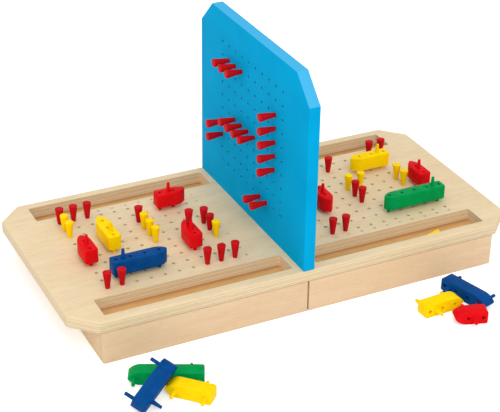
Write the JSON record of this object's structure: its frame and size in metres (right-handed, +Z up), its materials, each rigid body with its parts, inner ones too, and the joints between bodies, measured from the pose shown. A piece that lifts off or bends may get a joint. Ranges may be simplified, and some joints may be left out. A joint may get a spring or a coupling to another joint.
{
  "type": "peg battle board game",
  "caption": "Two-player fleet guessing game: long pegboard with two storage drawers, upright hole panel between players, moulded ships and tapered pegs.",
  "frame": {"origin": "on the table, at the middle of the underside of the centre block, under the middle of the board", "axes": "+Z up; +X along the board, from one player to the other, across the divider; +Y away from the loose ships, along the divider"},
  "size_m": [0.6, 0.4286, 0.308],
  "materials": {
    "birch_plywood": "clear matt varnish, ply layers on the edges",
    "thin_plywood": "clear matt varnish",
    "beech": "smooth, oiled",
    "screw_steel": "zinc plated",
    "blue_stained_board": "satin blue lacquer",
    "red_plastic": "semi-gloss moulded",
    "yellow_plastic": "semi-gloss moulded",
    "blue_plastic": "semi-gloss moulded",
    "green_plastic": "semi-gloss moulded"
  },
  "bodies": {
    "board": {"top_board": "birch_plywood", "centre_block": "beech", "block_screws": "screw_steel", "floor_left_back": "beech", "floor_left_front": "beech", "floor_right_back": "beech", "floor_right_front": "beech"},
    "left_drawer": {"left_drawer_end": "birch_plywood", "left_drawer_inner": "birch_plywood", "left_drawer_side_front": "birch_plywood", "left_drawer_side_back": "birch_plywood", "left_drawer_bottom": "thin_plywood"},
    "right_drawer": {"right_drawer_end": "birch_plywood", "right_drawer_inner": "birch_plywood", "right_drawer_side_front": "birch_plywood", "right_drawer_side_back": "birch_plywood", "right_drawer_bottom": "thin_plywood"},
    "divider": {"divider_panel": "blue_stained_board", "divider_dowels": "beech"},
    "left_red_ship_1": {"left_red_ship_1": "red_plastic"},
    "left_red_ship_2": {"left_red_ship_2": "red_plastic"},
    "left_red_ship_3": {"left_red_ship_3": "red_plastic"},
    "left_yellow_ship": {"left_yellow_ship": "yellow_plastic"},
    "left_blue_ship": {"left_blue_ship": "blue_plastic"},
    "right_yellow_ship": {"right_yellow_ship": "yellow_plastic"},
    "right_red_ship_1": {"right_red_ship_1": "red_plastic"},
    "right_red_ship_2": {"right_red_ship_2": "red_plastic"},
    "right_green_ship": {"right_green_ship": "green_plastic"},
    "spare_green_ship": {"spare_green_ship": "green_plastic"},
    "spare_left_blue_ship": {"spare_left_blue_ship": "blue_plastic"},
    "spare_left_yellow_ship": {"spare_left_yellow_ship": "yellow_plastic"},
    "spare_right_blue_ship": {"spare_right_blue_ship": "blue_plastic"},
    "spare_right_yellow_ship": {"spare_right_yellow_ship": "yellow_plastic"},
    "spare_red_ship": {"spare_red_ship": "red_plastic"},
    "left_red_pegs_back": {"left_red_pegs_back": "red_plastic"},
    "left_red_peg_middle": {"left_red_peg_middle": "red_plastic"},
    "left_red_pegs_inner": {"left_red_pegs_inner": "red_plastic"},
    "left_red_pegs_front_inner": {"left_red_pegs_front_inner": "red_plastic"},
    "left_red_pegs_front_outer": {"left_red_pegs_front_outer": "red_plastic"},
    "left_yellow_pegs_outer": {"left_yellow_pegs_outer": "yellow_plastic"},
    "left_yellow_pegs_middle": {"left_yellow_pegs_middle": "yellow_plastic"},
    "left_yellow_peg_inner": {"left_yellow_peg_inner": "yellow_plastic"},
    "right_red_peg_inner": {"right_red_peg_inner": "red_plastic"},
    "right_red_pegs_middle": {"right_red_pegs_middle": "red_plastic"},
    "right_red_pegs_front": {"right_red_pegs_front": "red_plastic"},
    "right_red_pegs_back": {"right_red_pegs_back": "red_plastic"},
    "right_yellow_pegs_middle": {"right_yellow_pegs_middle": "yellow_plastic"},
    "right_yellow_pegs_outer": {"right_yellow_pegs_outer": "yellow_plastic"},
    "loose_yellow_peg": {"loose_yellow_peg": "yellow_plastic"},
    "left_red_hit_peg": {"left_red_hit_peg": "red_plastic"},
    "divider_pegs_top": {"divider_pegs_top": "red_plastic"},
    "divider_pegs_back": {"divider_pegs_back": "red_plastic"},
    "divider_pegs_middle": {"divider_pegs_middle": "red_plastic"},
    "divider_pegs_front": {"divider_pegs_front": "red_plastic"},
    "divider_pegs_low": {"divider_pegs_low": "red_plastic"}
  },
  "joints": [
    {"name": "left_drawer_slide", "type": "slide", "parent": "board", "child": "left_drawer", "axis": [-1, 0, 0], "range_m": [0, 0.2]},
    {"name": "right_drawer_slide", "type": "slide", "parent": "board", "child": "right_drawer", "axis": [1, 0, 0], "range_m": [0, 0.2]},
    {"name": "divider_lift", "type": "slide", "parent": "board", "child": "divider", "axis": [0, 0, 1], "range_m": [0, 0.06]},
    {"name": "left_red_ship_1_lift", "type": "slide", "parent": "board", "child": "left_red_ship_1", "axis": [0, 0, 1], "range_m": [0, 0.04]},
    {"name": "left_red_ship_2_lift", "type": "slide", "parent": "board", "child": "left_red_ship_2", "axis": [0, 0, 1], "range_m": [0, 0.04]},
    {"name": "left_red_ship_3_lift", "type": "slide", "parent": "board", "child": "left_red_ship_3", "axis": [0, 0, 1], "range_m": [0, 0.04]},
    {"name": "left_yellow_ship_lift", "type": "slide", "parent": "board", "child": "left_yellow_ship", "axis": [0, 0, 1], "range_m": [0, 0.04]},
    {"name": "left_blue_ship_lift", "type": "slide", "parent": "board", "child": "left_blue_ship", "axis": [0, 0, 1], "range_m": [0, 0.04]},
    {"name": "right_yellow_ship_lift", "type": "slide", "parent": "board", "child": "right_yellow_ship", "axis": [0, 0, 1], "range_m": [0, 0.04]},
    {"name": "right_red_ship_1_lift", "type": "slide", "parent": "board", "child": "right_red_ship_1", "axis": [0, 0, 1], "range_m": [0, 0.04]},
    {"name": "right_red_ship_2_lift", "type": "slide", "parent": "board", "child": "right_red_ship_2", "axis": [0, 0, 1], "range_m": [0, 0.04]},
    {"name": "right_green_ship_lift", "type": "slide", "parent": "board", "child": "right_green_ship", "axis": [0, 0, 1], "range_m": [0, 0.04]},
    {"name": "spare_green_ship_lift", "type": "slide", "parent": "board", "child": "spare_green_ship", "axis": [0, 0, 1], "range_m": [0, 0.06]},
    {"name": "spare_left_blue_ship_lift", "type": "slide", "parent": "spare_green_ship", "child": "spare_left_blue_ship", "axis": [0, 0, 1], "range_m": [0, 0.06]},
    {"name": "spare_left_yellow_ship_slide", "type": "slide", "parent": "board", "child": "spare_left_yellow_ship", "axis": [0, -1, 0], "range_m": [0, 0.06]},
    {"name": "spare_right_blue_ship_lift", "type": "slide", "parent": "board", "child": "spare_right_blue_ship", "axis": [0, 0, 1], "range_m": [0, 0.06]},
    {"name": "spare_right_yellow_ship_lift", "type": "slide", "parent": "board", "child": "spare_right_yellow_ship", "axis": [0, 0, 1], "range_m": [0, 0.06]},
    {"name": "spare_red_ship_lift", "type": "slide", "parent": "board", "child": "spare_red_ship", "axis": [0, 0, 1], "range_m": [0, 0.06]},
    {"name": "left_red_pegs_back_lift", "type": "slide", "parent": "board", "child": "left_red_pegs_back", "axis": [0, 0, 1], "range_m": [0, 0.03]},
    {"name": "left_red_peg_middle_lift", "type": "slide", "parent": "board", "child": "left_red_peg_middle", "axis": [0, 0, 1], "range_m": [0, 0.03]},
    {"name": "left_red_pegs_inner_lift", "type": "slide", "parent": "board", "child": "left_red_pegs_inner", "axis": [0, 0, 1], "range_m": [0, 0.03]},
    {"name": "left_red_pegs_front_inner_lift", "type": "slide", "parent": "board", "child": "left_red_pegs_front_inner", "axis": [0, 0, 1], "range_m": [0, 0.03]},
    {"name": "left_red_pegs_front_outer_lift", "type": "slide", "parent": "board", "child": "left_red_pegs_front_outer", "axis": [0, 0, 1], "range_m": [0, 0.03]},
    {"name": "left_yellow_pegs_outer_lift", "type": "slide", "parent": "board", "child": "left_yellow_pegs_outer", "axis": [0, 0, 1], "range_m": [0, 0.03]},
    {"name": "left_yellow_pegs_middle_lift", "type": "slide", "parent": "board", "child": "left_yellow_pegs_middle", "axis": [0, 0, 1], "range_m": [0, 0.03]},
    {"name": "left_yellow_peg_inner_lift", "type": "slide", "parent": "board", "child": "left_yellow_peg_inner", "axis": [0, 0, 1], "range_m": [0, 0.03]},
    {"name": "right_red_peg_inner_lift", "type": "slide", "parent": "board", "child": "right_red_peg_inner", "axis": [0, 0, 1], "range_m": [0, 0.03]},
    {"name": "right_red_pegs_middle_lift", "type": "slide", "parent": "board", "child": "right_red_pegs_middle", "axis": [0, 0, 1], "range_m": [0, 0.03]},
    {"name": "right_red_pegs_front_lift", "type": "slide", "parent": "board", "child": "right_red_pegs_front", "axis": [0, 0, 1], "range_m": [0, 0.03]},
    {"name": "right_red_pegs_back_lift", "type": "slide", "parent": "board", "child": "right_red_pegs_back", "axis": [0, 0, 1], "range_m": [0, 0.03]},
    {"name": "right_yellow_pegs_middle_lift", "type": "slide", "parent": "board", "child": "right_yellow_pegs_middle", "axis": [0, 0, 1], "range_m": [0, 0.03]},
    {"name": "right_yellow_pegs_outer_lift", "type": "slide", "parent": "board", "child": "right_yellow_pegs_outer", "axis": [0, 0, 1], "range_m": [0, 0.03]},
    {"name": "loose_yellow_peg_lift", "type": "slide", "parent": "board", "child": "loose_yellow_peg", "axis": [0, 0, 1], "range_m": [0, 0.03]},
    {"name": "left_red_hit_peg_lift", "type": "slide", "parent": "left_red_ship_3", "child": "left_red_hit_peg", "axis": [0, 0, 1], "range_m": [0, 0.03]},
    {"name": "divider_pegs_top_pull", "type": "slide", "parent": "divider", "child": "divider_pegs_top", "axis": [-1, 0, 0], "range_m": [0, 0.03]},
    {"name": "divider_pegs_back_pull", "type": "slide", "parent": "divider", "child": "divider_pegs_back", "axis": [-1, 0, 0], "range_m": [0, 0.03]},
    {"name": "divider_pegs_middle_pull", "type": "slide", "parent": "divider", "child": "divider_pegs_middle", "axis": [-1, 0, 0], "range_m": [0, 0.03]},
    {"name": "divider_pegs_front_pull", "type": "slide", "parent": "divider", "child": "divider_pegs_front", "axis": [-1, 0, 0], "range_m": [0, 0.03]},
    {"name": "divider_pegs_low_pull", "type": "slide", "parent": "divider", "child": "divider_pegs_low", "axis": [-1, 0, 0], "range_m": [0, 0.03]}
  ]
}
